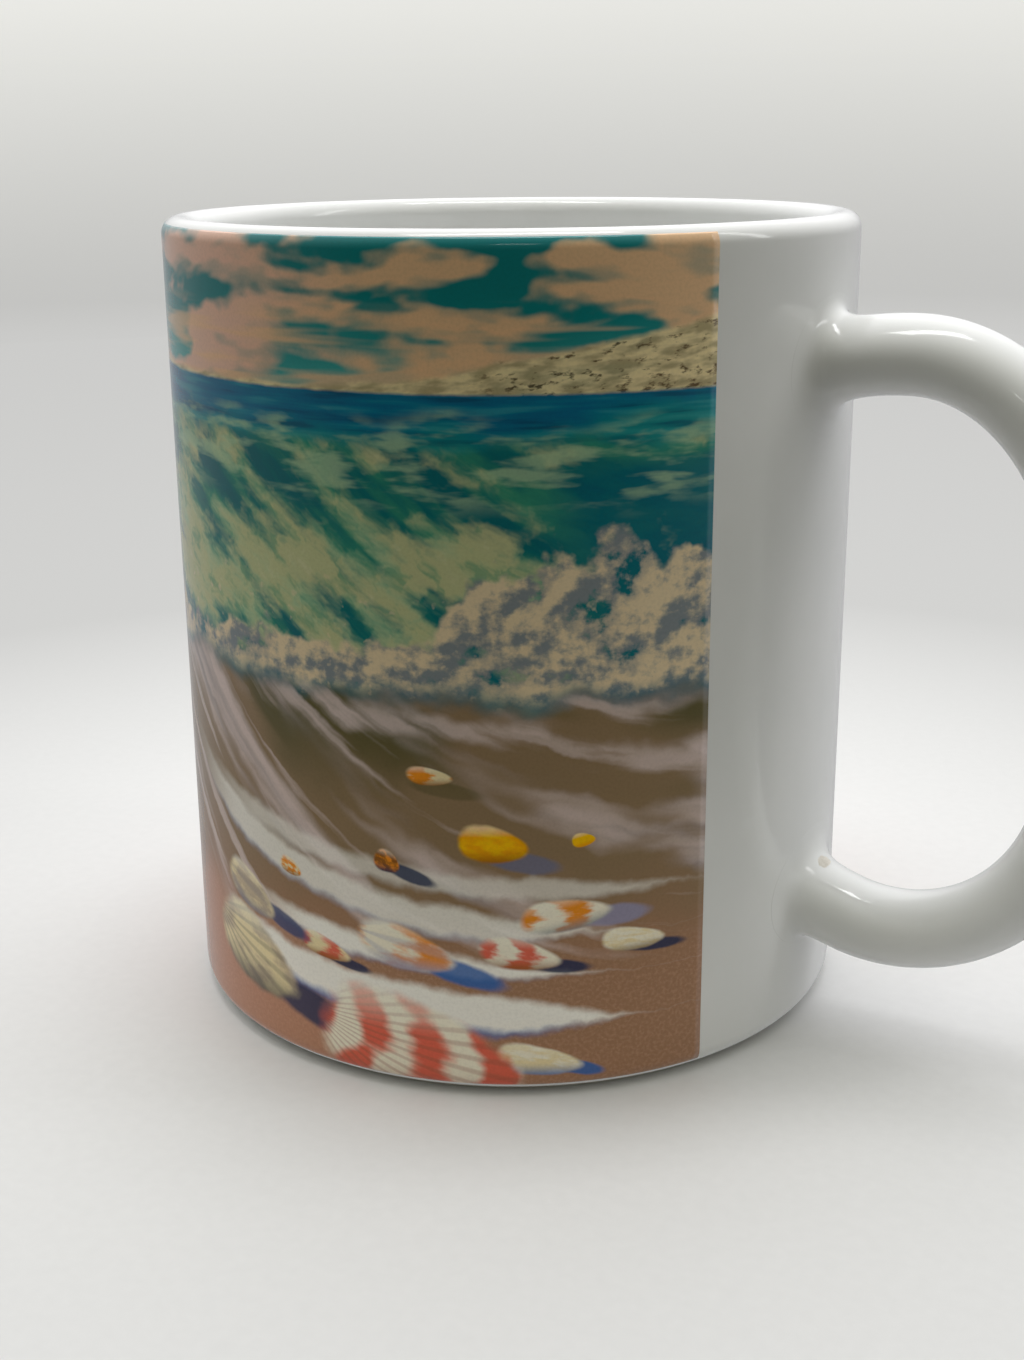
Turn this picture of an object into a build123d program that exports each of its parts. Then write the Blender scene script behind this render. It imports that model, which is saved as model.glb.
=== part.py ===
"""Straight-sided ceramic mug with a picture wrapped round it.

A cup and a handle of clay are stuck together with slip and fired. Glaze covers the clay except
for the ring the cup stands on, and a thin printed film lies over the glaze. Millimetres. +Z is
up, the origin is the centre of the foot, and the handle points along +X.
"""

import os
from math import degrees

from build123d import *

# Finished sizes of the cup, over the glaze.
CUP_HEIGHT = 95.0
CUP_RADIUS = 41.0
BORE_TOP_RADIUS = 37.0
BORE_BOTTOM_RADIUS = 36.0
FLOOR_TOP = 8.0
BORE_CORNER = 9.0
FOOT_OUTER = 38.8
FOOT_INNER = 34.4
RECESS_ROUND = 1.7

# Coats on the clay. The glaze stops GLAZE_LINE above the foot, which is left bare.
GLAZE = 0.3
GLAZE_LINE = 0.5
FILM = 0.1

# The film is one wrap of the cup that leaves a bare strip behind the handle.
WRAP_WIDTH = 216.0
WRAP_BOTTOM = 1.5
WRAP_TOP = 94.4

# Handle over the glaze: an oval bar, width across by depth in the handle's own plane. Its centre
# line leaves the wall, levels out, turns down as a quarter ellipse and comes back the same way.
GRIP_WIDTH = 10.9
GRIP_DEPTH = 8.8
ROOT_RADIUS = 37.5
UPPER_ROOT_HEIGHT = 78.3
LOWER_ROOT_HEIGHT = 19.2
BEND_START = 50.5
REACH = 71.4
UPPER_LEVEL = 80.7
UPPER_BEND = 26.9
LOWER_LEVEL = 13.7
LOWER_BEND = 22.5
SLIP_BED = 0.5

# Collar of slip at each joint: distance along the handle as a fraction, then the half width
# across and the half height of the flare there.
COLLAR_STATIONS = ((0.012, 9.4, 9.0), (0.028, 7.4, 6.5), (0.042, 6.2, 5.1), (0.064, 5.3, 4.25))

LIP_ROUND = (CUP_RADIUS - BORE_TOP_RADIUS) / 2
LIP_CENTRE = CUP_RADIUS - LIP_ROUND
BASE_ROUND = CUP_RADIUS - FOOT_OUTER
TALL = 2 * CUP_HEIGHT


def cup_section(skin):
    """Half section of the cup with every glazed face set back by skin."""
    lip = LIP_ROUND - skin
    base = BASE_ROUND - skin
    recess = RECESS_ROUND + skin
    corner = BORE_CORNER + skin
    base_top = GLAZE_LINE + BASE_ROUND
    lip_base = CUP_HEIGHT - LIP_ROUND
    recess_top = GLAZE_LINE + recess
    floor = FLOOR_TOP - skin
    bore_low = BORE_BOTTOM_RADIUS + skin
    bore_high = BORE_TOP_RADIUS + skin
    with BuildSketch(Plane.XZ) as section:
        with BuildLine():
            Line((FOOT_INNER + skin, 0), (FOOT_OUTER, 0))
            Line((FOOT_OUTER, 0), (FOOT_OUTER, base_top - base))
            CenterArc((FOOT_OUTER, base_top), base, -90, 90)
            Line((FOOT_OUTER + base, base_top), (LIP_CENTRE + lip, lip_base))
            CenterArc((LIP_CENTRE, lip_base), lip, 0, 180)
            Line((bore_high, lip_base), (bore_low, floor + corner))
            CenterArc((bore_low - corner, floor + corner), corner, -90, 90)
            Line((bore_low - corner, floor), (0, floor))
            Line((0, floor), (0, recess_top))
            Line((0, recess_top), (FOOT_INNER + skin - recess, recess_top))
            CenterArc((FOOT_INNER + skin - recess, GLAZE_LINE), recess, 0, 90)
            Line((FOOT_INNER + skin, GLAZE_LINE), (FOOT_INNER + skin, 0))
        make_face()
    return section.sketch


def coat_section(outside, inside, left, right, bottom, top):
    """Part of the skin between two cup sections that lies inside a box."""
    with BuildSketch(Plane.XZ) as section:
        add(cup_section(outside))
        add(cup_section(inside), mode=Mode.SUBTRACT)
        with Locations((left, bottom)):
            Rectangle(right - left, top - bottom, align=Align.MIN, mode=Mode.INTERSECT)
    return section.sketch


def arc_radius(run, rise):
    """Radius of an arc that starts level and climbs by rise over the distance run."""
    return (run**2 + rise**2) / (2 * rise)


def handle_spine():
    """Centre line of the handle, from inside the wall at the top round to the bottom."""
    run = BEND_START - ROOT_RADIUS
    upper_root_arc = arc_radius(run, UPPER_LEVEL - UPPER_ROOT_HEIGHT)
    lower_root_arc = arc_radius(run, LOWER_ROOT_HEIGHT - LOWER_LEVEL)
    across = REACH - BEND_START
    upper_centre = (BEND_START, UPPER_LEVEL - UPPER_BEND)
    lower_centre = (BEND_START, LOWER_LEVEL + LOWER_BEND)
    with BuildLine(Plane.XZ) as path:
        RadiusArc((ROOT_RADIUS, UPPER_ROOT_HEIGHT), (BEND_START, UPPER_LEVEL), upper_root_arc)
        EllipticalCenterArc(upper_centre, across, UPPER_BEND, start_angle=90, arc_size=-90)
        Line((REACH, UPPER_LEVEL - UPPER_BEND), (REACH, LOWER_LEVEL + LOWER_BEND))
        EllipticalCenterArc(lower_centre, across, LOWER_BEND, start_angle=0, arc_size=-90)
        RadiusArc((BEND_START, LOWER_LEVEL), (ROOT_RADIUS, LOWER_ROOT_HEIGHT), lower_root_arc)
    return path.wires()[0]


def handle_bar(skin):
    """Whole bent bar of the handle set back by skin, its ends buried in the cup wall."""
    spine = handle_spine()
    with BuildPart() as bar:
        with BuildSketch(Plane(spine @ 0, x_dir=(0, 1, 0), z_dir=spine % 0)):
            Ellipse(GRIP_WIDTH / 2 - skin, GRIP_DEPTH / 2 - skin)
        sweep(path=spine)
    return bar.part


def handle_coat_half(side):
    """Glaze on one half of the bar, split down its middle so that each half sweeps cleanly."""
    spine = handle_spine()
    with BuildPart() as coat:
        with BuildSketch(Plane(spine @ 0, x_dir=(0, 1, 0), z_dir=spine % 0)):
            Ellipse(GRIP_WIDTH / 2, GRIP_DEPTH / 2)
            Ellipse(GRIP_WIDTH / 2 - GLAZE, GRIP_DEPTH / 2 - GLAZE, mode=Mode.SUBTRACT)
            Rectangle(GRIP_WIDTH, 2 * GRIP_WIDTH, align=(side, Align.CENTER), mode=Mode.INTERSECT)
        sweep(path=spine)
    return coat.part


def joint_collar(at_top):
    """Flare of slip round one end of the handle: a loft from inside the wall out to the bar."""
    spine = handle_spine()
    with BuildPart() as collar:
        for along, across, down in COLLAR_STATIONS:
            centre = spine @ (along if at_top else 1 - along)
            with BuildSketch(Plane(centre, x_dir=(0, 0, 1), z_dir=(1, 0, 0))):
                Ellipse(down, across)
        loft()
    return collar.part


upper_collar = joint_collar(True)
lower_collar = joint_collar(False)

with BuildPart() as cup_body:
    with BuildSketch(Plane.XZ):
        add(cup_section(GLAZE))
    revolve(axis=Axis.Z)

with BuildPart() as handle:
    add(handle_bar(GLAZE))
    Cylinder(CUP_RADIUS - GLAZE + SLIP_BED, TALL, mode=Mode.SUBTRACT)

with BuildPart() as upper_slip_joint:
    add(upper_collar)
    Cylinder(CUP_RADIUS - GLAZE, TALL, mode=Mode.SUBTRACT)
    add(handle.part, mode=Mode.SUBTRACT)

with BuildPart() as lower_slip_joint:
    add(lower_collar)
    Cylinder(CUP_RADIUS - GLAZE, TALL, mode=Mode.SUBTRACT)
    add(handle.part, mode=Mode.SUBTRACT)

with BuildPart() as liner_glaze:
    with BuildSketch(Plane.XZ):
        add(coat_section(0, GLAZE, 0, LIP_CENTRE, FLOOR_TOP - GLAZE, CUP_HEIGHT))
    revolve(axis=Axis.Z)

with BuildPart() as base_glaze:
    with BuildSketch(Plane.XZ):
        add(coat_section(0, GLAZE, 0, LIP_CENTRE - BASE_ROUND, GLAZE_LINE, FLOOR_TOP / 2))
    revolve(axis=Axis.Z)

with BuildPart() as outer_glaze:
    with BuildSketch(Plane.XZ):
        add(coat_section(0, GLAZE, LIP_CENTRE, CUP_RADIUS, GLAZE_LINE, CUP_HEIGHT))
        add(coat_section(0, GLAZE, FOOT_OUTER, CUP_RADIUS, GLAZE_LINE, CUP_HEIGHT / 2))
    revolve(axis=Axis.Z)
    add(upper_collar, mode=Mode.SUBTRACT)
    add(lower_collar, mode=Mode.SUBTRACT)

with BuildPart() as handle_glaze:
    add(handle_coat_half(Align.MIN))
    add(handle_coat_half(Align.MAX))
    Cylinder(CUP_RADIUS, TALL, mode=Mode.SUBTRACT)
    add(upper_collar, mode=Mode.SUBTRACT)
    add(lower_collar, mode=Mode.SUBTRACT)

wrap_angle = degrees(WRAP_WIDTH / CUP_RADIUS)
wrap_start = Plane.XZ.rotated((0, 0, (360 - wrap_angle) / 2))

with BuildPart() as printed_wrap:
    with BuildSketch(wrap_start):
        add(coat_section(-FILM, 0, LIP_CENTRE, CUP_RADIUS + 1, WRAP_BOTTOM, WRAP_TOP))
    revolve(axis=Axis.Z, revolution_arc=wrap_angle)

cup_body.part.label = "cup_body"
handle.part.label = "handle"
upper_slip_joint.part.label = "upper_slip_joint"
lower_slip_joint.part.label = "lower_slip_joint"
liner_glaze.part.label = "liner_glaze"
outer_glaze.part.label = "outer_glaze"
handle_glaze.part.label = "handle_glaze"
base_glaze.part.label = "base_glaze"
printed_wrap.part.label = "printed_wrap"

os.makedirs("parts", exist_ok=True)
export_step(cup_body.part, "parts/cup_body.step")
export_step(handle.part, "parts/handle.step")
export_step(upper_slip_joint.part, "parts/upper_slip_joint.step")
export_step(lower_slip_joint.part, "parts/lower_slip_joint.step")
export_step(liner_glaze.part, "parts/liner_glaze.step")
export_step(outer_glaze.part, "parts/outer_glaze.step")
export_step(handle_glaze.part, "parts/handle_glaze.step")
export_step(base_glaze.part, "parts/base_glaze.step")
export_step(printed_wrap.part, "parts/printed_wrap.step")
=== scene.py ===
"""Looks for the printed ceramic mug: glaze, handle skin, picture wrap, floor, light and camera."""

import math

import bmesh
import bpy
from mathutils import Matrix, Vector, noise


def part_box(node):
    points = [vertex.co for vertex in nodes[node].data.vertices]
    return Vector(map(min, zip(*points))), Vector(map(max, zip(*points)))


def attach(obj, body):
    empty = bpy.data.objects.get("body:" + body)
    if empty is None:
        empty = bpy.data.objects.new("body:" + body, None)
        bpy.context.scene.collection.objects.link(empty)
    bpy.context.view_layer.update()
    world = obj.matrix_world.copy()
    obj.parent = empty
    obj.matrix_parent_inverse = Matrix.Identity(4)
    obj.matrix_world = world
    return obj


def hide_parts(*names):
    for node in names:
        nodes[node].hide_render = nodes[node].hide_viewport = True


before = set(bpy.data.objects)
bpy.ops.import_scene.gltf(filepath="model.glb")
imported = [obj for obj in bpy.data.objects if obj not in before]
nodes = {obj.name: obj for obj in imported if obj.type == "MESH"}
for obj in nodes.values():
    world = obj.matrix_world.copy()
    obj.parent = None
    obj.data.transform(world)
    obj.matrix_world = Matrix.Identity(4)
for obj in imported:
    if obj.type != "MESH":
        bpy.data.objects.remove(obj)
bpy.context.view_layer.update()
scene = bpy.context.scene

MM = 0.001

# ---------------------------------------------------------------- sizes
#
# Read from the CAD parts where a bounding box gives them, otherwise typed in as in part.py.

wall_low, wall_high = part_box("outer_glaze")
bore_low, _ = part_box("liner_glaze")
grip_low, grip_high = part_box("handle_glaze")

CUP_RADIUS = wall_high.y
CUP_HEIGHT = wall_high.z
GLAZE = 0.3 * MM
GLAZE_LINE = wall_low.z
BORE_TOP_RADIUS = 37.0 * MM
BORE_BOTTOM_RADIUS = 36.0 * MM
BORE_CORNER = 9.0 * MM
FLOOR_TOP = bore_low.z + GLAZE
FOOT_OUTER = 38.8 * MM
LIP_ROUND = (CUP_RADIUS - BORE_TOP_RADIUS) / 2
LIP_CENTRE = CUP_RADIUS - LIP_ROUND
BASE_ROUND = CUP_RADIUS - FOOT_OUTER

GRIP_WIDTH = grip_high.y - grip_low.y
GRIP_DEPTH = 8.8 * MM
REACH = grip_high.x - GRIP_DEPTH / 2
UPPER_LEVEL = grip_high.z - GRIP_DEPTH / 2
LOWER_LEVEL = grip_low.z + GRIP_DEPTH / 2
UPPER_BEND = 26.9 * MM
LOWER_BEND = 22.5 * MM
BEND_START = 50.5 * MM
UPPER_ROOT = (37.5 * MM, 78.3 * MM)
LOWER_ROOT = (37.5 * MM, 19.2 * MM)

WRAP_WIDTH = 216.0 * MM

# Used by the visual meshes only.
WRAP_PROUD = 0.05 * MM
WRAP_DEPTH_SHARE = 1.6
WRAP_FOOT_ANGLE = -34
WRAP_LIP_ANGLE = 40
WRAP_SEGMENTS = 240

CUP_SEGMENTS = 256
GLAZE_DEPTH_SHARE = 0.9
AXIS_GAP = 0.05 * MM
AXIS_CALM = 1.0 * MM
WELD_RADIUS = 0.4 * MM
WELD_DISTANCE = 0.2 * MM

# Unevenness of the fired glaze: noise cells per metre, and heights in millimetres.
BROAD_CELLS = 38.0
FINE_CELLS = 95.0
FINE_OFFSET = (7.0, 3.0, 1.0)
BROAD_HEIGHT = 0.030
FINE_HEIGHT = 0.010

# ---------------------------------------------------------------- mesh helpers


def new_object(name, verts, faces):
    """Smooth-shaded mesh object from plain lists, with outward normals."""
    mesh = bpy.data.meshes.new(name)
    mesh.from_pydata([tuple(v) for v in verts], [], faces)
    mesh.validate()
    work = bmesh.new()
    work.from_mesh(mesh)
    bmesh.ops.recalc_face_normals(work, faces=work.faces)
    work.to_mesh(mesh)
    work.free()
    for polygon in mesh.polygons:
        polygon.use_smooth = True
    obj = bpy.data.objects.new(name, mesh)
    scene.collection.objects.link(obj)
    return obj


def waviness(point):
    """Slow unevenness of the fired glaze, in metres along the surface normal."""
    broad = noise.noise(point * BROAD_CELLS)
    fine = noise.noise(point * FINE_CELLS + Vector(FINE_OFFSET))
    return (BROAD_HEIGHT * broad + FINE_HEIGHT * fine) * MM


def arc(centre, radius, start, end, steps):
    """Points of a circular arc, angles in degrees."""
    points = []
    for i in range(steps + 1):
        a = math.radians(start + (end - start) * i / steps)
        points.append((centre[0] + radius * math.cos(a), centre[1] + radius * math.sin(a)))
    return points


def line(start, end, steps):
    """Evenly spaced points from start to end, without the last."""
    return [
        (start[0] + (end[0] - start[0]) * i / steps, start[1] + (end[1] - start[1]) * i / steps)
        for i in range(steps)
    ]


def thick_lathe(name, outline, thickness, start, sweep, segments):
    """Closed shell turned from an outline: the outline is its outer face, thickness its depth."""
    full = abs(sweep - 360) < 1e-6
    count = segments if full else segments + 1
    skins = []
    for side in (0, 1):
        rows = []
        for i, (r, z) in enumerate(outline):
            ahead = outline[min(i + 1, len(outline) - 1)]
            back = outline[max(i - 1, 0)]
            tangent = Vector((ahead[0] - back[0], ahead[1] - back[1])).normalized()
            normal = Vector((tangent.y, -tangent.x))
            row = []
            for j in range(count):
                a = math.radians(start + sweep * j / segments)
                spot = Vector((r * math.cos(a), r * math.sin(a), z))
                lift = waviness(spot) if side == 0 and r > AXIS_CALM else 0.0
                rr = r + normal.x * (lift - side * thickness)
                zz = z + normal.y * (lift - side * thickness)
                row.append(Vector((rr * math.cos(a), rr * math.sin(a), zz)))
            rows.append(row)
        skins.append(rows)
    verts = [v for rows in skins for row in rows for v in row]
    size = len(outline) * count
    faces = []
    last = len(outline) - 1
    around = count if full else count - 1
    for i in range(last):
        for j in range(around):
            k = (j + 1) % count
            a, b = i * count, (i + 1) * count
            faces.append((a + j, a + k, b + k, b + j))
            faces.append((size + a + j, size + b + j, size + b + k, size + a + k))
    for i in (0, last):
        for j in range(around):
            k = (j + 1) % count
            faces.append((i * count + j, i * count + k, size + i * count + k, size + i * count + j))
    if not full:
        for j in (0, count - 1):
            for i in range(last):
                a, b = i * count + j, (i + 1) * count + j
                faces.append((a, b, size + b, size + a))
    return new_object(name, verts, faces)


# ---------------------------------------------------------------- glaze over the cup

lip_base = CUP_HEIGHT - LIP_ROUND
base_top = GLAZE_LINE + BASE_ROUND
outside = arc((FOOT_OUTER, base_top), BASE_ROUND, -90, 0, 10)[:-1]
outside += line((CUP_RADIUS, base_top), (CUP_RADIUS, lip_base), 60)
lip = arc((LIP_CENTRE, lip_base), LIP_ROUND, 0, 180, 20)[:-1]
corner_centre = (BORE_BOTTOM_RADIUS - BORE_CORNER, FLOOR_TOP + BORE_CORNER)
inside = line((BORE_TOP_RADIUS, lip_base), (BORE_BOTTOM_RADIUS, corner_centre[1]), 50)
inside += arc(corner_centre, BORE_CORNER, 0, -90, 14)[:-1]
inside += line((corner_centre[0], FLOOR_TOP), (AXIS_GAP, FLOOR_TOP), 14)
inside.append((AXIS_GAP, FLOOR_TOP))

cup_outline = outside + lip + inside
cup_glaze = thick_lathe("cup_glaze", cup_outline, GLAZE * GLAZE_DEPTH_SHARE, 0, 360, CUP_SEGMENTS)
work = bmesh.new()
work.from_mesh(cup_glaze.data)
near_axis = [v for v in work.verts if v.co.xy.length < WELD_RADIUS]
bmesh.ops.remove_doubles(work, verts=near_axis, dist=WELD_DISTANCE)
bmesh.ops.recalc_face_normals(work, faces=work.faces)
work.to_mesh(cup_glaze.data)
work.free()
for polygon in cup_glaze.data.polygons:
    polygon.use_smooth = True
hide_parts("liner_glaze", "outer_glaze")
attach(cup_glaze, "root")

# ---------------------------------------------------------------- picture wrap on the wall

half_wrap = math.degrees(WRAP_WIDTH / 2 / CUP_RADIUS)
film_outline = arc((FOOT_OUTER, base_top), BASE_ROUND, WRAP_FOOT_ANGLE, 0, 6)[:-1]
film_outline += line((CUP_RADIUS, base_top), (CUP_RADIUS, lip_base), 60)
film_outline += arc((LIP_CENTRE, lip_base), LIP_ROUND, 0, WRAP_LIP_ANGLE, 7)
film_outline = [(r + WRAP_PROUD, z) for r, z in film_outline]
picture_wrap = thick_lathe(
    "picture_wrap",
    film_outline,
    WRAP_PROUD * WRAP_DEPTH_SHARE,
    180 - half_wrap,
    2 * half_wrap,
    WRAP_SEGMENTS,
)
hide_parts("printed_wrap")
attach(picture_wrap, "root")

# ---------------------------------------------------------------- handle skin with blended joints


def root_arc(root, level, steps):
    """Arc from a root in the wall to where the handle runs level."""
    run = BEND_START - root[0]
    rise = level - root[1]
    radius = (run * run + rise * rise) / (2 * abs(rise))
    side = math.copysign(1, rise)
    centre = (BEND_START, level - side * radius)
    points = []
    for i in range(steps + 1):
        x = root[0] + run * i / steps
        points.append((x, centre[1] + side * math.sqrt(radius**2 - (BEND_START - x) ** 2)))
    return points


def quarter_bend(level, height, steps):
    """Quarter ellipse from level running out to straight up or down at the reach."""
    across = REACH - BEND_START
    centre = level - height
    points = []
    for i in range(steps + 1):
        a = math.pi / 2 * i / steps
        points.append((BEND_START + across * math.sin(a), centre + height * math.cos(a)))
    return points


spine = root_arc(UPPER_ROOT, UPPER_LEVEL, 24)[:-1]
spine += quarter_bend(UPPER_LEVEL, UPPER_BEND, 60)[:-1]
lower_half = root_arc(LOWER_ROOT, LOWER_LEVEL, 24)[:-1]
lower_half += quarter_bend(LOWER_LEVEL, -LOWER_BEND, 60)
spine += lower_half[::-1]


def resample(points, count):
    """Points evenly spaced along a polyline, each with its unit tangent."""
    lengths = [0.0]
    for a, b in zip(points, points[1:]):
        lengths.append(lengths[-1] + math.dist(a, b))
    result = []
    index = 0
    for i in range(count + 1):
        want = lengths[-1] * i / count
        while index < len(points) - 2 and lengths[index + 1] < want:
            index += 1
        share = (want - lengths[index]) / (lengths[index + 1] - lengths[index])
        a, b = Vector(points[index]), Vector(points[index + 1])
        result.append(a.lerp(b, share))
    out = []
    for i, p in enumerate(result):
        tangent = (result[min(i + 1, count)] - result[max(i - 1, 0)]).normalized()
        out.append((p, tangent))
    return out


AROUND = 72
JOINT_LENGTH = 4.4 * MM
FOOTPRINT_ACROSS = 9.5 * MM
UPPER_FOOTPRINT = (78.9 * MM, 8.0 * MM)
LOWER_FOOTPRINT = (17.1 * MM, 7.2 * MM)
BLEND_ROWS = 12
GRIP_PULL = 0.62
WALL_PULL = 0.45
FOOTPRINT_SINK = 0.25
SPINE_STATIONS = 220

stations = resample(spine, SPINE_STATIONS)
first = next(i for i, (p, t) in enumerate(stations) if p.x > CUP_RADIUS + JOINT_LENGTH)
last = len(stations) - 1 - next(
    i for i, (p, t) in enumerate(stations[::-1]) if p.x > CUP_RADIUS + JOINT_LENGTH
)


def grip_ring(p, tangent):
    """Oval ring round the handle's centre line."""
    outward = Vector((-tangent.y, tangent.x))
    ring = []
    for j in range(AROUND):
        a = 2 * math.pi * j / AROUND
        across = GRIP_WIDTH / 2 * math.sin(a)
        depth = GRIP_DEPTH / 2 * math.cos(a)
        spot = Vector((p.x + outward.x * depth, across, p.y + outward.y * depth))
        normal = Vector((outward.x * math.cos(a), math.sin(a), outward.y * math.cos(a)))
        ring.append(spot + normal * waviness(spot))
    return ring


def blend_rows(ring, toward_wall, footprint, flip):
    """Rings that carry the handle's end out onto the wall in a fillet, the last one sunk in."""
    centre, half_height = footprint
    rows = []
    for i in range(1, BLEND_ROWS + 1):
        t = i / BLEND_ROWS
        row = []
        for j, start in enumerate(ring):
            a = 2 * math.pi * j / AROUND
            y = FOOTPRINT_ACROSS * math.sin(a)
            z = centre + flip * half_height * math.cos(a)
            end = Vector((math.sqrt(CUP_RADIUS**2 - y * y), y, z))
            spread = Vector((0.0, y, z - centre))
            normal = Vector((end.x, end.y, 0)).normalized()
            spread = (spread - normal * spread.dot(normal)).normalized()
            reach = (end - start).length
            p1 = start + toward_wall * reach * GRIP_PULL
            p2 = end - spread * reach * WALL_PULL
            point = (
                start * (1 - t) ** 3
                + p1 * 3 * t * (1 - t) ** 2
                + p2 * 3 * t * t * (1 - t)
                + end * t**3
            )
            row.append(point)
        rows.append(row)
    sunk = []
    for point in rows[-1]:
        normal = Vector((point.x, point.y, 0)).normalized()
        sunk.append(point - normal * FOOTPRINT_SINK * MM)
    rows.append(sunk)
    return rows


rings = [grip_ring(p, t) for p, t in stations[first : last + 1]]
start_tangent = stations[first][1]
end_tangent = stations[last][1]
into_top = Vector((-start_tangent.x, 0, -start_tangent.y))
into_bottom = Vector((end_tangent.x, 0, end_tangent.y))
top_rows = blend_rows(rings[0], into_top, UPPER_FOOTPRINT, 1)
bottom_rows = blend_rows(rings[-1], into_bottom, LOWER_FOOTPRINT, -1)
rings = top_rows[::-1] + rings + bottom_rows

verts = [v for ring in rings for v in ring]
faces = []
for i in range(len(rings) - 1):
    for j in range(AROUND):
        k = (j + 1) % AROUND
        a, b = i * AROUND, (i + 1) * AROUND
        faces.append((a + j, a + k, b + k, b + j))
for i in (0, len(rings) - 1):
    verts.append(sum(rings[i], Vector()) / AROUND)
    tip = len(verts) - 1
    for j in range(AROUND):
        faces.append((i * AROUND + j, i * AROUND + (j + 1) % AROUND, tip))
handle_skin = new_object("handle_skin", verts, faces)
footprint_rings = {1, len(rings) - 2}
for edge in handle_skin.data.edges:
    ring_of = {v // AROUND for v in edge.vertices}
    if len(ring_of) == 1 and ring_of & footprint_rings:
        edge.use_edge_sharp = True
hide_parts("handle_glaze", "upper_slip_joint", "lower_slip_joint")
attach(handle_skin, "root")

# ---------------------------------------------------------------- materials


def new_material(name):
    """Empty node material with its Principled shader."""
    material = bpy.data.materials.new(name)
    material.use_nodes = True
    tree = material.node_tree
    shader = tree.nodes["Principled BSDF"]
    return material, tree, shader


def put(obj, material):
    """Shows one material on the whole object."""
    if not obj.material_slots:
        obj.data.materials.append(material)
    for material_slot in obj.material_slots:
        material_slot.link = "OBJECT"
        material_slot.material = material


def object_noise(tree, scale, detail=2.0, roughness=0.5, distortion=0.0):
    """Noise texture in object space, scale in cells per metre."""
    coords = tree.nodes.new("ShaderNodeTexCoord")
    tex = tree.nodes.new("ShaderNodeTexNoise")
    tex.inputs["Scale"].default_value = scale
    tex.inputs["Detail"].default_value = detail
    tex.inputs["Roughness"].default_value = roughness
    tex.inputs["Distortion"].default_value = distortion
    tree.links.new(coords.outputs["Object"], tex.inputs["Vector"])
    return tex.outputs["Fac"]


def mapped(tree, value, low, high, out_low, out_high):
    """Map Range with clamping."""
    node = tree.nodes.new("ShaderNodeMapRange")
    node.inputs["From Min"].default_value = low
    node.inputs["From Max"].default_value = high
    node.inputs["To Min"].default_value = out_low
    node.inputs["To Max"].default_value = out_high
    tree.links.new(value, node.inputs["Value"])
    return node.outputs["Result"]


def mixed(tree, share, low, high):
    """Colour mix of two constants or sockets."""
    node = tree.nodes.new("ShaderNodeMix")
    node.data_type = "RGBA"
    tree.links.new(share, node.inputs["Factor"])
    for socket, value in ((node.inputs[6], low), (node.inputs[7], high)):
        if isinstance(value, bpy.types.NodeSocket):
            tree.links.new(value, socket)
        else:
            socket.default_value = (*value, 1.0)
    return node.outputs[2]


def multiplied(tree, first, second):
    """Product of two number sockets."""
    node = tree.nodes.new("ShaderNodeMath")
    node.operation = "MULTIPLY"
    tree.links.new(first, node.inputs[0])
    tree.links.new(second, node.inputs[1])
    return node.outputs[0]


def along_direction(tree, vector, direction):
    """How far a vector socket reaches along a fixed direction."""
    node = tree.nodes.new("ShaderNodeVectorMath")
    node.operation = "DOT_PRODUCT"
    node.inputs[1].default_value = direction
    tree.links.new(vector, node.inputs[0])
    return node.outputs["Value"]


def bumped(tree, height, distance, strength):
    """Bump from a height socket, distance in metres."""
    node = tree.nodes.new("ShaderNodeBump")
    node.inputs["Distance"].default_value = distance
    node.inputs["Strength"].default_value = strength
    tree.links.new(height, node.inputs["Height"])
    return node.outputs["Normal"]


GLAZE_PALE = (0.845, 0.85, 0.845)
GLAZE_SHADE = (0.80, 0.81, 0.805)
GLAZE_IOR = 1.52
PINHOLE_GREY = (0.72, 0.72, 0.71)
CLAY_DARK = (0.66, 0.62, 0.55)
CLAY_LIGHT = (0.80, 0.77, 0.71)
CLAY_STAIN = (0.55, 0.50, 0.43)


def glaze_material(name, pale, shade):
    """Gloss white glaze: faint cloudiness, orange peel and a few pinholes."""
    material, tree, shader = new_material(name)
    cloud = object_noise(tree, 55.0, 3.0, 0.55)
    tone = mixed(tree, mapped(tree, cloud, 0.3, 0.7, 0, 1), shade, pale)
    coords = tree.nodes.new("ShaderNodeTexCoord")
    cells = tree.nodes.new("ShaderNodeTexVoronoi")
    cells.inputs["Scale"].default_value = 210.0
    cells.inputs["Randomness"].default_value = 1.0
    tree.links.new(coords.outputs["Object"], cells.inputs["Vector"])
    pin = mapped(tree, cells.outputs["Distance"], 0.015, 0.032, 1, 0)
    rare = mapped(tree, object_noise(tree, 90.0, 1.0), 0.66, 0.68, 0, 1)
    spotted = mixed(tree, multiplied(tree, pin, rare), tone, PINHOLE_GREY)
    tree.links.new(spotted, shader.inputs["Base Color"])
    wear = object_noise(tree, 160.0, 4.0, 0.6)
    tree.links.new(mapped(tree, wear, 0.35, 0.7, 0.07, 0.13), shader.inputs["Roughness"])
    shader.inputs["IOR"].default_value = GLAZE_IOR
    peel = object_noise(tree, 420.0, 2.0, 0.5)
    tree.links.new(bumped(tree, peel, 0.000012, 0.6), shader.inputs["Normal"])
    return material


glaze = glaze_material("white_glaze", GLAZE_PALE, GLAZE_SHADE)

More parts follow.
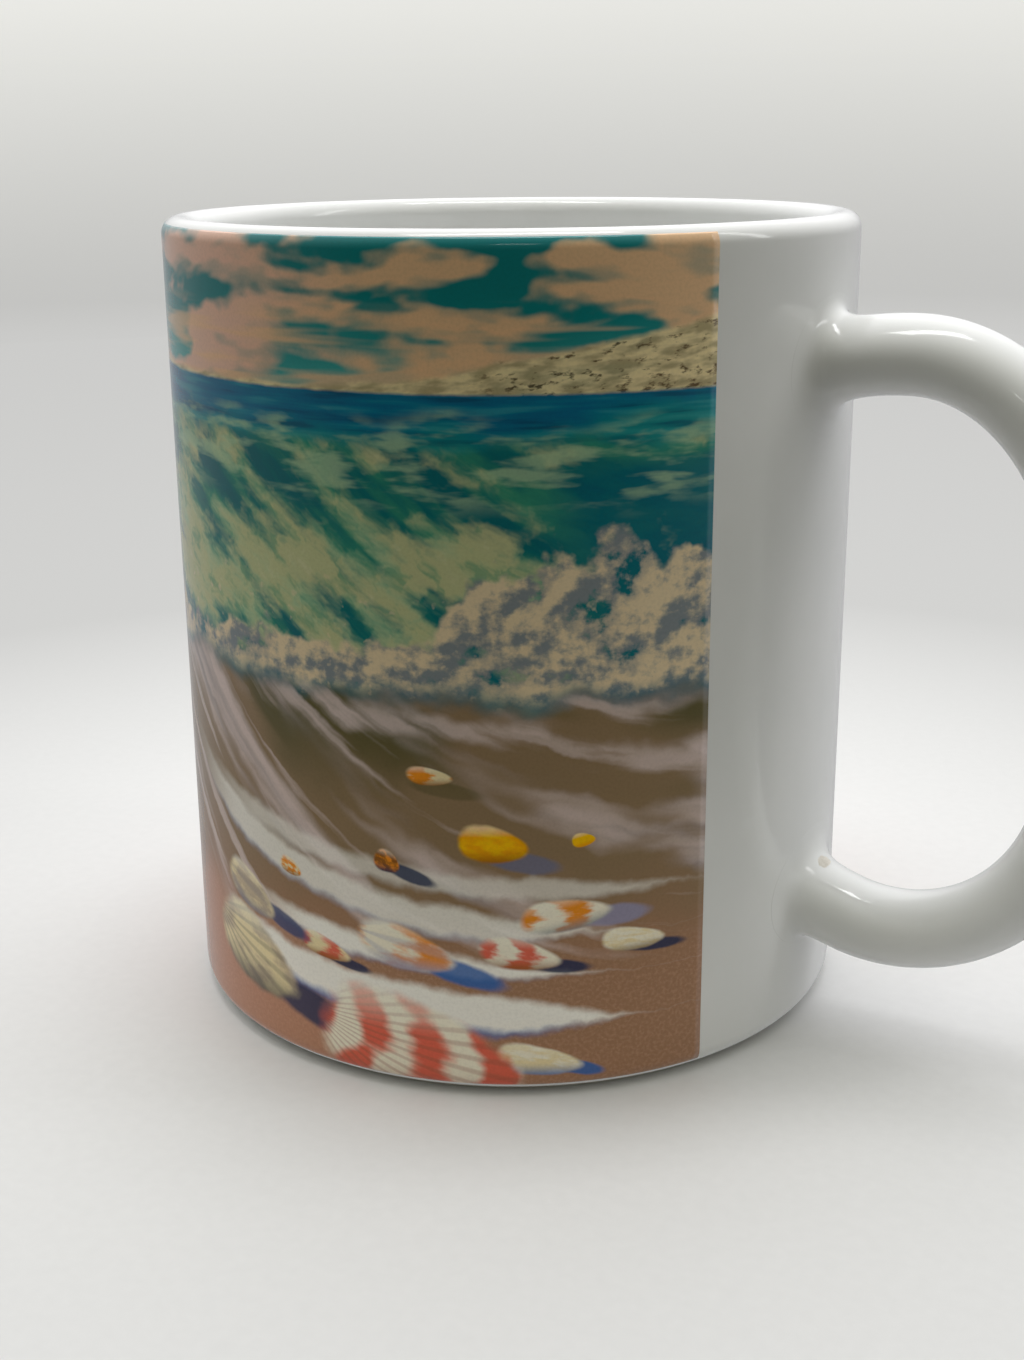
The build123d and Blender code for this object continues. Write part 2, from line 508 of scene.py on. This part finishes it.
clay, tree, shader = new_material("fired_clay")
grain = object_noise(tree, 1500.0, 4.0, 0.7)
body = mixed(tree, mapped(tree, grain, 0.35, 0.65, 0, 1), CLAY_DARK, CLAY_LIGHT)
stain = mapped(tree, object_noise(tree, 120.0, 3.0), 0.5, 0.75, 0, 0.5)
tree.links.new(mixed(tree, stain, body, CLAY_STAIN), shader.inputs["Base Color"])
tree.links.new(mapped(tree, grain, 0.3, 0.7, 0.75, 0.95), shader.inputs["Roughness"])
tree.links.new(bumped(tree, grain, 0.00008, 0.8), shader.inputs["Normal"])

# ---------------------------------------------------------------- the picture, as a node painting
#
# The picture follows the seascape in the photo: its horizon, headland, tongues of foam and shells
# are placed where the photo has them, and drawn as computed shapes. Its ground is the wall
# unrolled: across runs round the cup from the side opposite the handle, up is height, both in
# millimetres. Most bare numbers below are such places, or thresholds between 0 and 1.

print_material, tree, shader = new_material("seascape_print")


class Value:
    """A number socket that can be added, subtracted and multiplied like a number."""

    def __init__(self, socket):
        self.socket = socket

    def __add__(self, other):
        return calc("ADD", self, other)

    def __sub__(self, other):
        return calc("SUBTRACT", self, other)

    def __mul__(self, other):
        return calc("MULTIPLY", self, other)

    def __rsub__(self, other):
        return calc("SUBTRACT", other, self)

    __radd__ = __add__
    __rmul__ = __mul__


def calc(operation, first, second=0.0):
    """One Math node on values or plain numbers."""
    node = tree.nodes.new("ShaderNodeMath")
    node.operation = operation
    for socket, term in zip(node.inputs, (first, second)):
        if isinstance(term, Value):
            tree.links.new(term.socket, socket)
        else:
            socket.default_value = term
    return Value(node.outputs[0])


def ease(value, low, high):
    """0 below low, 1 above high, smooth between. Low may be the larger, for a falling edge."""
    node = tree.nodes.new("ShaderNodeMapRange")
    node.interpolation_type = "SMOOTHSTEP"
    falling = low > high
    node.inputs["From Min"].default_value = min(low, high)
    node.inputs["From Max"].default_value = max(low, high)
    node.inputs["To Min"].default_value = 1.0 if falling else 0.0
    node.inputs["To Max"].default_value = 0.0 if falling else 1.0
    tree.links.new(value.socket, node.inputs["Value"])
    return Value(node.outputs["Result"])


def grain_of(x, y, seed, detail=2.0, roughness=0.5, distortion=0.0):
    """Noise over two coordinates that are already scaled to the size wanted."""
    place = tree.nodes.new("ShaderNodeCombineXYZ")
    tree.links.new(x.socket, place.inputs[0])
    tree.links.new(y.socket, place.inputs[1])
    place.inputs[2].default_value = seed
    tex = tree.nodes.new("ShaderNodeTexNoise")
    tex.noise_dimensions = "3D"
    tex.inputs["Scale"].default_value = 1.0
    tex.inputs["Detail"].default_value = detail
    tex.inputs["Roughness"].default_value = roughness
    tex.inputs["Distortion"].default_value = distortion
    tree.links.new(place.outputs[0], tex.inputs["Vector"])
    return Value(tex.outputs["Fac"])


def blend_of(share, low, high):
    """Mix of two colours, each a tuple or a socket."""
    return mixed(tree, share.socket, low, high)


coords = tree.nodes.new("ShaderNodeTexCoord")
split = tree.nodes.new("ShaderNodeSeparateXYZ")
tree.links.new(coords.outputs["Object"], split.inputs[0])
turned = calc("ARCTAN2", Value(split.outputs["Y"]) * -1.0, Value(split.outputs["X"]) * -1.0)
across = turned * (CUP_RADIUS / MM)
up = Value(split.outputs["Z"]) * (1 / MM)

# Soft wander shared by most edges in the picture.
wander = grain_of(across * 0.11, up * 0.11, 3.1, 3.0) - 0.5
wobble = grain_of(across * 0.35, up * 0.35, 9.4, 3.0) - 0.5

HORIZON = 79.0

SKY_HIGH = (0.006, 0.19, 0.20)
SKY_LOW = (0.06, 0.34, 0.33)
CLOUD_TAN = (0.80, 0.52, 0.31)
CLOUD_PINK = (0.80, 0.50, 0.38)
CLOUD_BASE = (0.24, 0.30, 0.25)
LAND_CREAM = (0.82, 0.70, 0.42)
LAND_SHADE = (0.42, 0.36, 0.21)
LAND_ROCK = (0.06, 0.035, 0.015)
SEA_DEEP = (0.003, 0.14, 0.27)
SEA_TEAL = (0.02, 0.25, 0.26)
SEA_LIGHT = (0.10, 0.46, 0.46)
SEA_NIGHT = (0.002, 0.055, 0.13)
WAVE_DARK = (0.004, 0.135, 0.16)
WAVE_GREEN = (0.05, 0.28, 0.18)
WAVE_BLUE = (0.003, 0.12, 0.19)
FOAM_GREEN = (0.56, 0.56, 0.31)
FOAM_LIGHT = (0.70, 0.68, 0.44)
FOAM_PALE = (0.40, 0.56, 0.36)
FOAM_CREAM = (0.74, 0.61, 0.42)
FOAM_SHADE = (0.22, 0.25, 0.27)
FOAM_LILAC = (0.72, 0.60, 0.58)
FOAM_WHITE = (0.92, 0.90, 0.84)
FOAM_BLUE = (0.05, 0.15, 0.42)
SAND_WET = (0.26, 0.18, 0.105)
SAND_OLIVE = (0.10, 0.09, 0.035)
SAND_PINK = (0.50, 0.255, 0.17)
SAND_TAN = (0.34, 0.195, 0.12)
NAVY = (0.012, 0.03, 0.09)

# Sky and clouds.
sky_drift = grain_of(across * 0.05, up * 0.2, 1.0, 2.0)
canvas = blend_of(ease(up + sky_drift * 8.0, 82.0, 93.0), SKY_LOW, SKY_HIGH)
cloud = grain_of(across * 0.062, up * 0.145, 5.6, 3.0, 0.5, 0.2)
cloud_rise = ease(across, 72.0, 90.0) * ease(up, 87.5, 90.5) * 0.09
cloud_rise = cloud_rise + ease(up, 88.0, 83.0) * 0.03
cloud_edge = cloud + cloud_rise + wobble * 0.07 - ease(up, 92.0, 94.8) * 0.10
cloud_mask = ease(cloud_edge, 0.44, 0.54)
cloud_tone = blend_of(ease(across, 52.0, 74.0), CLOUD_PINK, CLOUD_TAN)
cloud_above = grain_of(across * 0.062 - 0.10, up * 0.145 + 0.22, 5.6, 3.0, 0.5, 0.2)
cloud_shade = ease(cloud_above - cloud, -0.02, 0.10)
cloud_tone = blend_of(cloud_shade * 0.6, cloud_tone, CLOUD_BASE)
canvas = blend_of(cloud_mask * 0.92, canvas, cloud_tone)
wisp = grain_of(across * 0.045, up * 0.42, 8.0, 2.0)
wisp_mask = ease(wisp, 0.46, 0.62) * ease(up, 88.5, 84.5) * 0.75
canvas = blend_of(wisp_mask, canvas, CLOUD_TAN)

# A low headland that climbs to the right, and a lower one on the far side of the cup.
climb = calc("MAXIMUM", ease(across, 60.0, 130.0), ease(across, -22.0, -70.0) * 0.5)
land_top = climb * 9.0 + wander * 1.6 + wobble * 0.8 + (HORIZON + 0.4)
land_mask = ease(land_top - up, -0.3, 0.5) * ease(up, HORIZON - 0.6, HORIZON)
land_light = grain_of(across * 0.35 - up * 0.3, up * 0.9, 12.0, 2.0)
land = blend_of(ease(land_light, 0.34, 0.64), LAND_SHADE, LAND_CREAM)
rock = grain_of(across * 0.62 - up * 0.60, up * 1.25 + across * 0.10, 14.0, 3.0, 0.6)
rock_low = ease(up, HORIZON + 3.5, HORIZON) * 0.06
rock_mask = ease(rock + rock_low, 0.56, 0.70) * ease(across + wander * 9.0, 78.0, 88.0) * 0.92
land = blend_of(rock_mask, land, LAND_ROCK)
canvas = blend_of(land_mask * 0.94, canvas, land)

# Open sea, deep blue under the horizon and teal nearer.
sea_mask = ease(up + wobble * 0.35, HORIZON + 0.2, HORIZON - 0.25)
chop = grain_of(across * 0.085, up * 0.95, 21.0, 2.0)
sea_depth = up + wander * 6.0 - ease(across, 84.0, 100.0) * 3.0
sea = blend_of(ease(sea_depth, 73.0, 76.5), SEA_TEAL, SEA_DEEP)
sea = blend_of(ease(chop, 0.45, 0.72) * 0.35, sea, SEA_LIGHT)
sea = blend_of(ease(chop, 0.46, 0.30) * 0.6, sea, SEA_NIGHT)
canvas = blend_of(sea_mask, canvas, sea)

# Breaking wave: streaks pour down it to the right, and foam breaks them up.
pour = up + calc("SINE", (across - 66.0) * (1 / 24.0)) * 20.0
crest = 74.5 + wander * 5.0
wave_mask = ease(crest - up, -0.6, 2.0)
streak = grain_of(across * 0.060 + wobble * 0.3, pour * 0.17, 31.0, 4.0, 0.55)
wave = blend_of(ease(streak, 0.36, 0.62), WAVE_DARK, WAVE_GREEN)
pocket = ease(across + wander * 16.0, 84.0, 98.0) * ease(up, 74.0, 70.0)
wave = blend_of(pocket * 0.75, wave, WAVE_BLUE)
wave = blend_of(ease(up + wander * 14.0, 54.0, 46.5) * 0.85, wave, WAVE_BLUE)
canvas = blend_of(wave_mask, canvas, wave)
lace = grain_of(across * 0.090 + wobble * 0.4, pour * 0.05 + up * 0.08, 35.0, 4.0, 0.6)
thick = ease(up + wander * 8.0, 70.0, 58.0) * 0.07 - pocket * 0.16
lace_mask = ease(streak * 0.44 + lace * 0.68 + thick, 0.53, 0.66) * wave_mask
lace_mask = lace_mask * ease(up + wander * 12.0, 46.0, 52.0)
lace_tone = blend_of(ease(lace, 0.38, 0.58), FOAM_PALE, FOAM_GREEN)
vein = grain_of(across * 0.26 + wobble, pour * 0.22 + up * 0.10, 36.0, 3.0, 0.6)
lace_tone = blend_of(ease(vein, 0.50, 0.34) * 0.55, lace_tone, WAVE_GREEN)
lace_tone = blend_of(ease(vein, 0.56, 0.72) * 0.45, lace_tone, FOAM_LIGHT)
canvas = blend_of(lace_mask * 0.88, canvas, lace_tone)
crest_foam = grain_of(across * 0.13, up * 0.50, 38.0, 3.0, 0.5)
crest_mask = ease(crest_foam, 0.47, 0.64) * ease(up + wander * 5.0, 66.0, 70.5)
crest_mask = crest_mask * ease(up + wander * 6.0, 77.5, 74.0) * 0.7
canvas = blend_of(crest_mask, canvas, FOAM_PALE)

# Foam burst where the wave has fallen, lit from the upper left.
burst_top = 52.0 + 11.0 * ease(across, 72.0, 88.0) * ease(across, 132.0, 100.0)
burst_top = burst_top + wander * 16.0 + wobble * 6.0
burst_mask = ease(burst_top - up, -0.6, 1.0) * ease(up + wander * 6.0, 46.0, 49.0)
fluff = grain_of(across * 0.15, up * 0.17, 44.0, 5.0, 0.58)
fluff_lit = grain_of(across * 0.15 - 0.11, up * 0.17 + 0.14, 44.0, 5.0, 0.58)
relief = fluff - fluff_lit
burst = blend_of(ease(relief, -0.09, 0.07), FOAM_SHADE, FOAM_CREAM)
burst = blend_of(ease(fluff, 0.52, 0.40) * 0.5, burst, FOAM_SHADE)
canvas = blend_of(burst_mask * ease(fluff, 0.34, 0.42), canvas, burst)
glint = grain_of(across * 0.62, up * 0.62, 47.0, 2.0)
glint_mask = ease(glint, 0.62, 0.72) * ease(up + wander * 8.0, 45.0, 48.0)
glint_mask = glint_mask * ease(up + wander * 8.0, 62.0, 54.0)
canvas = blend_of(glint_mask * 0.55, canvas, FOAM_CREAM)

# Wash running back down the beach in long streaks.
lean = calc("POWER", math.e, (across - 42.0) * (1 / 22.0)) + 1.0
flow = up - calc("DIVIDE", 80.0, lean)
wash_mask = ease(up + wander * 7.0 + wobble * 1.5, 48.0, 45.0)
wet = blend_of(ease(up + wander * 12.0, 14.0, 30.0), SAND_TAN, SAND_WET)
dark = grain_of(across * 0.030, flow * 0.10, 51.4, 2.0)
dark_mask = ease(dark, 0.44, 0.60) * ease(up + wander * 8.0, 32.0, 43.0) * 0.9
wet = blend_of(dark_mask, wet, SAND_OLIVE)
canvas = blend_of(wash_mask, canvas, wet)
sheet_noise = grain_of(across * 0.022, flow * 0.085 + wander * 0.5, 55.2, 3.0, 0.55)
sheet_low = ease(up + wander * 8.0, 12.0, 20.0)
sheet_mask = ease(sheet_noise, 0.47, 0.60) * wash_mask * sheet_low
comb = grain_of(across * 0.04, flow * 0.30 + wobble * 0.5, 57.0, 3.0)
sheet_tone = blend_of(ease(comb, 0.30, 0.62), (0.36, 0.31, 0.31), FOAM_LILAC)
canvas = blend_of(sheet_mask * 0.80, canvas, sheet_tone)
thread = grain_of(across * 0.028, flow * 0.26 + wobble * 0.3, 59.0, 3.0)
thread_mask = ease(thread, 0.56, 0.68) * wash_mask * sheet_low
canvas = blend_of(thread_mask * 0.65, canvas, FOAM_LILAC)
front_line = 45.0 - ease(across, 60.0, 110.0) * 5.0 + wander * 6.0
front_mask = ease(calc("ABSOLUTE", up - front_line), 2.2, 0.4) * ease(across, 48.0, 60.0)
canvas = blend_of(front_mask * ease(comb, 0.36, 0.54) * 0.65, canvas, FOAM_LILAC)

# Dry sand along the foot of the picture, paler and pinker away to the left.
sand_mask = ease(up + wander * 9.0, 22.0, 14.0)
grit = grain_of(across * 2.2, up * 2.2, 61.0, 2.0)
sand = blend_of(ease(across + up * 2.0, 112.0, 62.0), SAND_TAN, SAND_PINK)
sand = blend_of(ease(grit, 0.4, 0.7) * 0.22, sand, (0.66, 0.40, 0.28))
canvas = blend_of(sand_mask * 0.9, canvas, sand)

# The tongues of foam and the shells come twice round the cup, once on each half of the picture.
HALF_PICTURE = 108.0
lap = calc("FLOORED_MODULO", across, HALF_PICTURE)


def tongue(middle, half, tip, start, blue, share=0.92):
    """A tongue of foam along a middle line, white on top with a blue lower edge."""
    global canvas
    taper = ease(lap, tip, tip - 22.0)
    width = taper * half
    off = up - middle + wobble * 1.6 + wander * 1.5
    body = ease(width - calc("ABSOLUTE", off), -0.2, 1.1) * ease(lap, start, start + 14.0) * share
    tone = blend_of(ease(off + width * 0.55, 0.4, -0.9) * blue, FOAM_WHITE, FOAM_BLUE)
    canvas = blend_of(body, canvas, tone)


fall = calc("POWER", math.e, lap * -0.045)
tongue(fall * 62.0 + 24.2, 1.6, 111.0, 40.0, 0.2, 0.55)
tongue(fall * 88.0 + 18.8, 2.3, 101.0, 36.0, 0.6, 0.75)
tongue(fall * 56.0 + 14.4, 1.7, 100.5, 48.0, 1.0)
tongue(fall * 50.0 + 8.9, 2.9, 103.5, 42.0, 1.0)


def oval(at, size, tilt):
    """Place inside a tilted oval: along it, across it, and distance from the middle (1 = rim)."""
    turn_by = math.radians(tilt)
    du = lap - at[0]
    dz = up - at[1]
    along = (du * math.cos(turn_by) + dz * math.sin(turn_by)) * (1 / size[0])
    over = (dz * math.cos(turn_by) - du * math.sin(turn_by)) * (1 / size[1])
    return along, over, calc("SQRT", along * along + over * over)


def shadow(at, size, tilt, tone=NAVY, share=0.88):
    """Soft cast shadow."""
    global canvas
    along, over, away = oval(at, size, tilt)
    canvas = blend_of(ease(away + wobble * 0.3, 1.1, 0.72) * share, canvas, tone)


def shell(at, size, tilt, pale, deep, ribs=0.0, bands=0.0, under=FOAM_SHADE):
    """Shell lit from the upper left, with ribs fanning from its left end and bands round it."""
    global canvas
    along, over, away = oval(at, size, tilt)
    pear = over * (along * 0.30 + 1.0)
    shape = calc("SQRT", along * along + pear * pear) + wobble * 0.22
    spread = calc("ARCTAN2", over, along + 1.25)
    mark = grain_of(along * 2.0, over * 2.4, at[0], 3.0)
    if bands:
        mark = mark * 0.7
        bowed = (along + over * over * 0.35) * bands
        mark = mark + calc("SINE", bowed + wander * 3.0) * 0.20 + 0.12
    tone = blend_of(ease(mark, 0.34, 0.62), pale, deep)
    if ribs:
        rib = ease(calc("SINE", spread * ribs), -0.2, 1.0) * 0.34
        tone = blend_of(rib, tone, under)
    light = along * 0.40 - over
    tone = blend_of(ease(light, -0.35, -1.10) * 0.45, tone, SHELL_SHINE)
    tone = blend_of(ease(light, 0.05, 1.15) * 0.90, tone, under)
    canvas = blend_of(ease(shape, 1.08, 0.86), canvas, tone)


SHELL_SHINE = (0.92, 0.88, 0.76)
SHELL_WHITE = (0.86, 0.80, 0.66)
SHELL_CREAM = (0.80, 0.68, 0.42)
SHELL_GREY = (0.52, 0.42, 0.30)
SHELL_ORANGE = (0.80, 0.30, 0.06)
SHELL_YELLOW = (0.90, 0.52, 0.03)
SHELL_RED = (0.72, 0.17, 0.12)
SHELL_BROWN = (0.28, 0.11, 0.03)

shadow((78.5, 36.8), (4.5, 1.0), -8, SAND_OLIVE, 0.5)
shell((76.8, 38.2), (2.6, 1.0), -4, SHELL_ORANGE, SHELL_CREAM, 0, 3.0, SHELL_BROWN)
shadow((86.8, 28.6), (4.6, 1.3), -10, (0.16, 0.17, 0.26), 0.8)
shell((83.6, 30.6), (3.9, 2.1), -10, SHELL_YELLOW, (0.85, 0.38, 0.02), 0, 0, SHELL_BROWN)
shell((93.4, 31.0), (1.3, 0.8), 0, SHELL_YELLOW, SHELL_YELLOW, 0, 0, SHELL_ORANGE)
shadow((74.2, 26.6), (3.4, 0.9), -18)
shell((71.6, 27.8), (1.6, 1.3), -30, SHELL_ORANGE, SHELL_BROWN, 0, 0, NAVY)
shell((58.4, 24.6), (1.7, 1.0), -20, SHELL_CREAM, SHELL_ORANGE, 0, 0, SHELL_BROWN)
shadow((101.5, 17.6), (4.6, 0.8), -4, NAVY)
shell((99.2, 18.6), (3.9, 1.4), -5, SHELL_CREAM, SHELL_WHITE, 0, 0, SAND_WET)
shadow((97.0, 21.8), (4.4, 1.3), 2, (0.30, 0.30, 0.45), 0.8)
shell((91.5, 22.2), (5.0, 1.9), 4, SHELL_WHITE, SHELL_ORANGE, 0, 5.5, FOAM_SHADE)
shadow((90.6, 16.2), (4.0, 0.9), -6)
shell((86.4, 17.6), (4.6, 1.8), -12, SHELL_WHITE, SHELL_RED, 0, 6.0, SHELL_BROWN)
shadow((79.8, 15.2), (5.4, 1.5), -16, FOAM_BLUE, 0.9)
shell((73.6, 17.6), (5.8, 2.5), -14, SHELL_WHITE, SHELL_ORANGE, 8.0, 3.2, (0.35, 0.36, 0.48))
shadow((66.0, 14.6), (3.4, 0.7), -10)
shell((63.2, 15.8), (3.6, 1.3), -12, SHELL_CREAM, SHELL_RED, 0, 5.0, SHELL_BROWN)
shadow((56.8, 17.4), (4.6, 1.2), -18, (0.05, 0.07, 0.17))
shell((50.6, 19.4), (5.0, 2.4), -22, SHELL_CREAM, SHELL_GREY, 7.0, 0, (0.22, 0.20, 0.24))
shadow((61.0, 7.6), (9.4, 2.3), -14, NAVY)
shell((50.8, 11.6), (8.2, 4.6), -20, SHELL_GREY, SHELL_CREAM, 26.0, 0, (0.10, 0.09, 0.08))
shadow((92.6, 3.6), (3.6, 0.9), -14, FOAM_BLUE)
shell((88.4, 4.6), (5.0, 1.8), -10, SHELL_WHITE, SHELL_CREAM, 0, 0, FOAM_BLUE)
shell((74.6, 4.4), (12.4, 6.6), -14, SHELL_WHITE, SHELL_RED, 46.0, 10.5, (0.34, 0.13, 0.09))

# Ink soaks in unevenly. The whole picture is then made a little stronger and brighter.
INK_DARK = (0.02, 0.02, 0.02)
PRINT_SATURATION = 1.06
PRINT_VALUE = 1.16
PRINT_ROUGHNESS = 0.12
soak = grain_of(across * 2.8, up * 2.8, 71.0, 2.0)
canvas = blend_of(ease(soak, 0.35, 0.75) * 0.07, canvas, INK_DARK)
enrich = tree.nodes.new("ShaderNodeHueSaturation")
enrich.inputs["Saturation"].default_value = PRINT_SATURATION
enrich.inputs["Value"].default_value = PRINT_VALUE
tree.links.new(canvas, enrich.inputs["Color"])
canvas = enrich.outputs["Color"]

tree.links.new(canvas, shader.inputs["Base Color"])
shader.inputs["Roughness"].default_value = PRINT_ROUGHNESS

put(cup_glaze, glaze)
put(handle_skin, glaze)
put(nodes["base_glaze"], glaze)
put(nodes["cup_body"], clay)
put(nodes["handle"], clay)
put(picture_wrap, print_material)
for coated in (
    "liner_glaze",
    "outer_glaze",
    "handle_glaze",
    "upper_slip_joint",
    "lower_slip_joint",
):
    put(nodes[coated], glaze)
put(nodes["printed_wrap"], print_material)

# ---------------------------------------------------------------- camera

VIEW_BEARING = math.radians(30.5)
CAMERA_DISTANCE = 218.65 * MM
CAMERA_HEIGHT = 104.7 * MM
CAMERA_SIDE = -0.44 * MM
CAMERA_PITCH = 0.3023
CAMERA_ROLL = -0.0092
LENS = 47.16

turn = Matrix.Rotation(VIEW_BEARING, 4, "Z")
tip = Matrix.Rotation(math.pi / 2 - CAMERA_PITCH, 4, "X")
roll = Matrix.Rotation(CAMERA_ROLL, 4, "Z")
camera_data = bpy.data.cameras.new("photo_camera")
camera_data.sensor_width = 36.0
camera_data.lens = LENS
camera_data.clip_start = 0.01
camera = bpy.data.objects.new("photo_camera", camera_data)
scene.collection.objects.link(camera)
place = Matrix.Translation(Vector((CAMERA_SIDE, -CAMERA_DISTANCE, CAMERA_HEIGHT)))
camera.matrix_world = turn @ place @ tip @ roll
scene.camera = camera

# ---------------------------------------------------------------- floor, backdrop and light

NEAR_RADIUS = 0.105
FLOOR_RADIUS = 0.75
COVE_RADIUS = 0.55
BACKDROP_TOP = 1.8
STAGE_SEGMENTS = 96
AXIS_HOLE = 0.0002

# The paper's grey: two tones near the mug from its tooth, darker further out as painted shade, and
# lighter up the backdrop as painted light, where the backdrop also has a painted glow.
PAPER_LOW = (0.69, 0.69, 0.69)
PAPER_HIGH = (0.71, 0.71, 0.71)
# Painted shade: the grey the paper darkens to further from the mug.
PAPER_PAINTED_SHADE = (0.45, 0.45, 0.447)
# Painted light: the grey the paper lightens to up the backdrop.
PAPER_PAINTED_LIGHT = (0.90, 0.90, 0.895)
# Painted light: colour of a glow on the backdrop, which is no lamp.
PAPER_PAINTED_GLOW = (1.0, 1.0, 0.99, 1.0)
PAPER_ROUGHNESS = 0.6
# Painted shade runs from the first to the second distance from the middle, in metres.
PAINTED_SHADE_FROM, PAINTED_SHADE_TO = 0.06, 0.19
# Painted light and the painted glow run from the first to the second height, in metres.
PAINTED_LIGHT_FROM, PAINTED_LIGHT_TO = 0.01, 0.25
# Strength of the painted glow, and how far behind the mug it reaches full strength.
PAINTED_GLOW_STRENGTH = 0.46
BEHIND_FULL = 0.6


def disc_rows(name, outline, segments):
    """Surface of revolution open at both ends, for the floor and the backdrop."""
    verts = []
    for r, z in outline:
        for j in range(segments):
            a = 2 * math.pi * j / segments
            verts.append((r * math.cos(a), r * math.sin(a), z))
    faces = []
    for i in range(len(outline) - 1):
        for j in range(segments):
            k = (j + 1) % segments
            a, b = i * segments, (i + 1) * segments
            faces.append((a + j, a + k, b + k, b + j))
    return new_object(name, verts, faces)


paper, tree, shader = new_material("paper_painted_light_and_shade")
tooth = object_noise(tree, 600.0, 3.0)
sheet = mixed(tree, mapped(tree, tooth, 0.3, 0.7, 0, 1), PAPER_LOW, PAPER_HIGH)
coords = tree.nodes.new("ShaderNodeTexCoord")
split = tree.nodes.new("ShaderNodeSeparateXYZ")
tree.links.new(coords.outputs["Object"], split.inputs[0])
spread = tree.nodes.new("ShaderNodeVectorMath")
spread.operation = "LENGTH"
tree.links.new(coords.outputs["Object"], spread.inputs[0])
# Painted shade: the paper turns darker further from the mug.
outer = mapped(tree, spread.outputs["Value"], PAINTED_SHADE_FROM, PAINTED_SHADE_TO, 0.0, 1.0)
sheet = mixed(tree, outer, sheet, PAPER_PAINTED_SHADE)
# Painted light: the paper turns lighter up the backdrop.
upper = mapped(tree, split.outputs["Z"], PAINTED_LIGHT_FROM, PAINTED_LIGHT_TO, 0.0, 1.0)
sheet = mixed(tree, upper, sheet, PAPER_PAINTED_LIGHT)
tree.links.new(sheet, shader.inputs["Base Color"])
shader.inputs["Roughness"].default_value = PAPER_ROUGHNESS
# Painted light: the backdrop glows more higher up and on the side away from the camera, though it
# is no lamp.
painted_glow = mapped(tree, split.outputs["Z"], PAINTED_LIGHT_FROM, PAINTED_LIGHT_TO, 0.0, PAINTED_GLOW_STRENGTH)
away_from_view = (-math.sin(VIEW_BEARING), math.cos(VIEW_BEARING), 0.0)
behind = along_direction(tree, coords.outputs["Object"], away_from_view)
side = mapped(tree, behind, 0.0, BEHIND_FULL, 0.0, 1.0)
tree.links.new(multiplied(tree, painted_glow, side), shader.inputs["Emission Strength"])
shader.inputs["Emission Color"].default_value = PAPER_PAINTED_GLOW

floor_near = disc_rows("floor_near", [(AXIS_HOLE, 0.0), (NEAR_RADIUS, 0.0)], STAGE_SEGMENTS)
floor_far = disc_rows("floor_far", [(NEAR_RADIUS, 0.0), (FLOOR_RADIUS, 0.0)], STAGE_SEGMENTS)
cove = arc((FLOOR_RADIUS, COVE_RADIUS), COVE_RADIUS, -90, 0, 24)
cove.append((FLOOR_RADIUS + COVE_RADIUS, BACKDROP_TOP))
backdrop = disc_rows("backdrop", cove, STAGE_SEGMENTS)
for staged in (floor_near, floor_far, backdrop):
    put(staged, paper)
# Only the near floor throws light back at the mug, as the photo's small turntable would. No floor
# is seen in reflections, and the backdrop is for the camera alone.
floor_near.visible_glossy = False
floor_far.visible_glossy = False
floor_far.visible_diffuse = False
backdrop.visible_diffuse = False
backdrop.visible_glossy = False
backdrop.visible_shadow = False

# The world is brighter overhead, and dimmer and yellower on the side the camera is on.
DIM_BEARING = math.radians(26.0)
WORLD_NEAR_TINT = (1.0, 0.99, 0.74)
WORLD_FAR_TINT = (0.985, 0.985, 1.0)

world = bpy.data.worlds.new("light_tent")
scene.world = world
world.use_nodes = True
tree = world.node_tree
background = tree.nodes["Background"]
coords = tree.nodes.new("ShaderNodeTexCoord")
split = tree.nodes.new("ShaderNodeSeparateXYZ")
tree.links.new(coords.outputs["Generated"], split.inputs[0])
toward_dim = (math.sin(DIM_BEARING), -math.cos(DIM_BEARING), 0.0)
front = along_direction(tree, coords.outputs["Generated"], toward_dim)
height = mapped(tree, split.outputs["Z"], 0.0, 0.95, 0.30, 1.78)
dim = mapped(tree, front, -0.90, 0.75, 1.6, 0.17)
tree.links.new(multiplied(tree, height, dim), background.inputs["Strength"])
tint = mixed(tree, dim, WORLD_NEAR_TINT, WORLD_FAR_TINT)
tree.links.new(tint, background.inputs["Color"])


def softbox(name, at, aim, size, watts):
    """Rectangular area light aimed at a point."""
    data = bpy.data.lights.new(name, "AREA")
    data.shape = "RECTANGLE"
    data.size, data.size_y = size
    data.energy = watts
    light = bpy.data.objects.new(name, data)
    scene.collection.objects.link(light)
    way = Vector(aim) - Vector(at)
    facing = way.to_track_quat("-Z", "Y").to_matrix().to_4x4()
    light.matrix_world = Matrix.Translation(at) @ facing


softbox("top_softbox", (-0.02, 0.02, 0.62), (0, 0, 0.04), (0.36, 0.08), 0.8)
softbox("side_softbox", (0.42, 0.20, 0.34), (0.03, 0, 0.05), (0.05, 0.30), 0.20)
softbox("front_strip", (0.30, -0.50, 0.42), (0, 0, 0.09), (0.14, 0.012), 0.06)

scene.view_settings.view_transform = "Standard"
scene.view_settings.look = "None"
